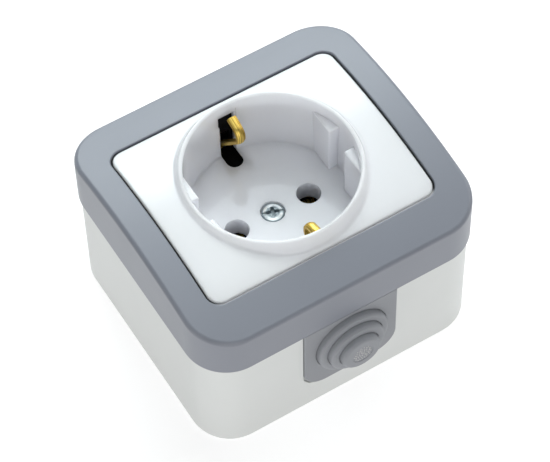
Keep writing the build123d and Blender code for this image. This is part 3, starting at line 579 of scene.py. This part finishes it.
def studio_floor():
    """Pale table that glows to white, with a faint grain."""
    stage = bpy.context.scene.socket_stage
    darkest = 0.985
    finish = Finish("studio_floor")
    grain = finish.noise(4 * MILLIMETRE, detail=3.0)
    finish.shade(
        base_color=finish.mix(tinted(stage.floor_colour, darkest), stage.floor_colour, grain),
        roughness=0.7,
        specular_ior_level=0.0,
        emission_color=LIGHT_WHITE,
        emission_strength=stage.floor_glow,
    )
    return finish.material


def dress(material, *nodes):
    """Gives CAD nodes a finished material in place of the plain one."""
    for node in nodes:
        for slot in frame["nodes"][node].material_slots:
            slot.material = material


def add_piece(name, mesh, material):
    """Puts a new mesh into the scene as a piece that rides on the socket."""
    mesh.materials.append(material)
    piece = bpy.data.objects.new(name, mesh)
    bpy.context.scene.collection.objects.link(piece)
    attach(piece, BODY)


class SOCKET_OT_back_box(bpy.types.Operator):
    """Finish the box that is screwed to the wall"""

    bl_idname = "socket.back_box"
    bl_label = "Back box"

    def execute(self, context):
        dress(box_plastic(), "back_box")
        return {"FINISHED"}


class SOCKET_OT_cover_frame(bpy.types.Operator):
    """Finish the arched frame, the seal under it and the gasket in its window"""

    bl_idname = "socket.cover_frame"
    bl_label = "Cover frame and seals"

    def execute(self, context):
        dress(frame_plastic(), "cover_frame")
        dress(seal_rubber(), "frame_seal")
        dress(gasket_rubber(), "insert_gasket")
        return {"FINISHED"}


class SOCKET_OT_insert(bpy.types.Operator):
    """Finish the white insert with the plug well"""

    bl_idname = "socket.insert"
    bl_label = "Insert"

    def execute(self, context):
        dress(insert_plastic(), "socket_insert")
        return {"FINISHED"}


class SOCKET_OT_inner_parts(bpy.types.Operator):
    """Finish the carrier, the contacts, the terminals and their screws"""

    bl_idname = "socket.inner_parts"
    bl_label = "Inner parts"

    def execute(self, context):
        dress(carrier_plastic(), "contact_carrier")
        dress(
            contact_brass(),
            "earth_strap",
            "neutral_contact",
            "line_contact",
            "neutral_terminal",
            "line_terminal",
            "earth_terminal",
        )
        dress(plated_steel(), "terminal_screws", "carrier_screws")
        return {"FINISHED"}


class SOCKET_OT_centre_screw(bpy.types.Operator):
    """Finish the centre screw in the floor of the well"""

    bl_idname = "socket.centre_screw"
    bl_label = "Centre screw"

    def execute(self, context):
        dress(screw_zinc(), "centre_screw")
        return {"FINISHED"}


class SOCKET_OT_grommet(bpy.types.Operator):
    """Finish the cable grommet and dot the pad on its cone"""

    bl_idname = "socket.grommet"
    bl_label = "Cable grommet"

    def execute(self, context):
        dress(grommet_rubber(), "cable_grommet")
        add_piece("pad_dots", self.dots(context.scene.socket_detail), rubbed_rubber())
        return {"FINISHED"}

    def dots(self, detail):
        """Flat round dots, half sunk into the cone's pad, set out like a sunflower's seeds and scattered."""
        chance = Random(detail.dot_seed)
        entry = next(mount for mount in frame["record"]["mounts"] if mount["name"] == "cable_entry")
        middle = Vector(entry["pos_m"]) + Vector((0.0, detail.pad_depth, 0.0))
        count = round(pi * (detail.pad_radius / detail.dot_pitch) ** 2)
        golden_turn = pi * (3 - sqrt(5))
        shape = bmesh.new()
        for dot in range(count):
            reach = detail.pad_radius * sqrt((dot + 0.5) / count)
            turn = dot * golden_turn
            place = middle + reach * Vector((cos(turn), 0.0, sin(turn)))
            place.x += detail.dot_scatter * chance.uniform(-1.0, 1.0)
            place.z += detail.dot_scatter * chance.uniform(-1.0, 1.0)
            wide = detail.dot_radius * chance.uniform(*DOT_WIDTHS)
            flatten = Matrix.Diagonal((wide, detail.dot_height, wide, 1.0))
            bmesh.ops.create_icosphere(
                shape, subdivisions=2, radius=1.0, matrix=Matrix.Translation(place) @ flatten
            )
        mesh = bpy.data.meshes.new("pad_dots")
        shape.to_mesh(mesh)
        shape.free()
        mesh.shade_smooth()
        return mesh


class SOCKET_OT_stage(bpy.types.Operator):
    """Set up the floor, the lights and the camera"""

    bl_idname = "socket.stage"
    bl_label = "Studio"

    def execute(self, context):
        scene = context.scene
        stage = scene.socket_stage
        self.make_floor(scene, stage)
        self.make_dark_room(scene)
        for name in UPPER_LIGHTS + SIDE_LIGHTS:
            self.make_light(scene, stage, name)
        self.make_camera(scene, stage)
        scene.view_settings.view_transform = "Standard"
        scene.view_settings.look = "None"
        return {"FINISHED"}

    def make_floor(self, scene, stage):
        """A wide flat table just under the socket's back."""
        mesh = bpy.data.meshes.new("studio_floor")
        shape = bmesh.new()
        bmesh.ops.create_grid(shape, x_segments=1, y_segments=1, size=stage.floor_size / 2)
        shape.to_mesh(mesh)
        shape.free()
        mesh.materials.append(studio_floor())
        floor = bpy.data.objects.new("studio_floor", mesh)
        floor.location.z = cad_bounds[0][2] - FLOOR_GAP
        scene.collection.objects.link(floor)

    def make_dark_room(self, scene):
        """A black world, so that all light comes from the lights and the table."""
        room = bpy.data.worlds.new("dark_room")
        room.use_nodes = True
        room.node_tree.nodes["Background"].inputs["Strength"].default_value = 0.0
        scene.world = room

    def make_light(self, scene, stage, name):
        """A square soft light that faces the middle of the socket."""
        lamp = bpy.data.lights.new(name + "_light", "AREA")
        lamp.energy = getattr(stage, name + "_power")
        if name in UPPER_LIGHTS:
            lamp.color = stage.upper_colour[:3]
        lamp.shape = "SQUARE"
        lamp.size = stage.light_size
        light = bpy.data.objects.new(name + "_light", lamp)
        way = Vector(getattr(stage, name + "_way")).normalized()
        middle = (Vector(cad_bounds[0]) + Vector(cad_bounds[1])) / 2
        light.location = middle + stage.light_distance * way
        light.rotation_euler = (-way).to_track_quat("-Z", "Y").to_euler()
        scene.collection.objects.link(light)

    def make_camera(self, scene, stage):
        """A camera at the photograph's angle."""
        view = bpy.data.cameras.new("photo_camera")
        view.sensor_fit = "HORIZONTAL"
        view.sensor_width = SENSOR_WIDTH
        view.lens = stage.lens
        view.clip_start = NEAREST_VIEW
        camera = bpy.data.objects.new("photo_camera", view)
        turn = Euler((pi / 2 - stage.elevation, 0.0, stage.azimuth)).to_matrix()
        turn = turn @ Matrix.Rotation(stage.roll, 3, "Z")
        place = Vector(stage.aim) + turn @ Vector((0.0, 0.0, stage.distance))
        camera.matrix_world = Matrix.Translation(place) @ turn.to_4x4()
        scene.collection.objects.link(camera)
        scene.camera = camera


STEPS = (
    SOCKET_OT_back_box,
    SOCKET_OT_cover_frame,
    SOCKET_OT_insert,
    SOCKET_OT_inner_parts,
    SOCKET_OT_centre_screw,
    SOCKET_OT_grommet,
    SOCKET_OT_stage,
)


class SOCKET_PT_panel(bpy.types.Panel):
    """Lists the pieces of the socket and its studio"""

    bl_idname = "SOCKET_PT_panel"
    bl_label = "Earthed wall socket"
    bl_space_type = "VIEW_3D"
    bl_region_type = "UI"
    bl_category = "Socket"

    def draw(self, context):
        for step in STEPS:
            self.layout.operator(step.bl_idname)


SETTINGS = {
    "socket_plastics": SocketPlastics,
    "socket_metals": SocketMetals,
    "socket_detail": SocketDetail,
    "socket_stage": SocketStage,
}
CLASSES = (*SETTINGS.values(), *STEPS, SOCKET_PT_panel)


def register():
    """Adds the classes, and each group of settings to the scene."""
    for cls in CLASSES:
        bpy.utils.register_class(cls)
    for name, group in SETTINGS.items():
        setattr(bpy.types.Scene, name, PointerProperty(type=group))


def unregister():
    """Takes the settings and the classes away again."""
    for name in SETTINGS:
        delattr(bpy.types.Scene, name)
    for cls in reversed(CLASSES):
        bpy.utils.unregister_class(cls)


def main():
    """Dresses the socket and sets up its studio."""
    register()
    for step in STEPS:
        group, action = step.bl_idname.split(".")
        getattr(getattr(bpy.ops, group), action)()


if __name__ == "__main__":
    main()
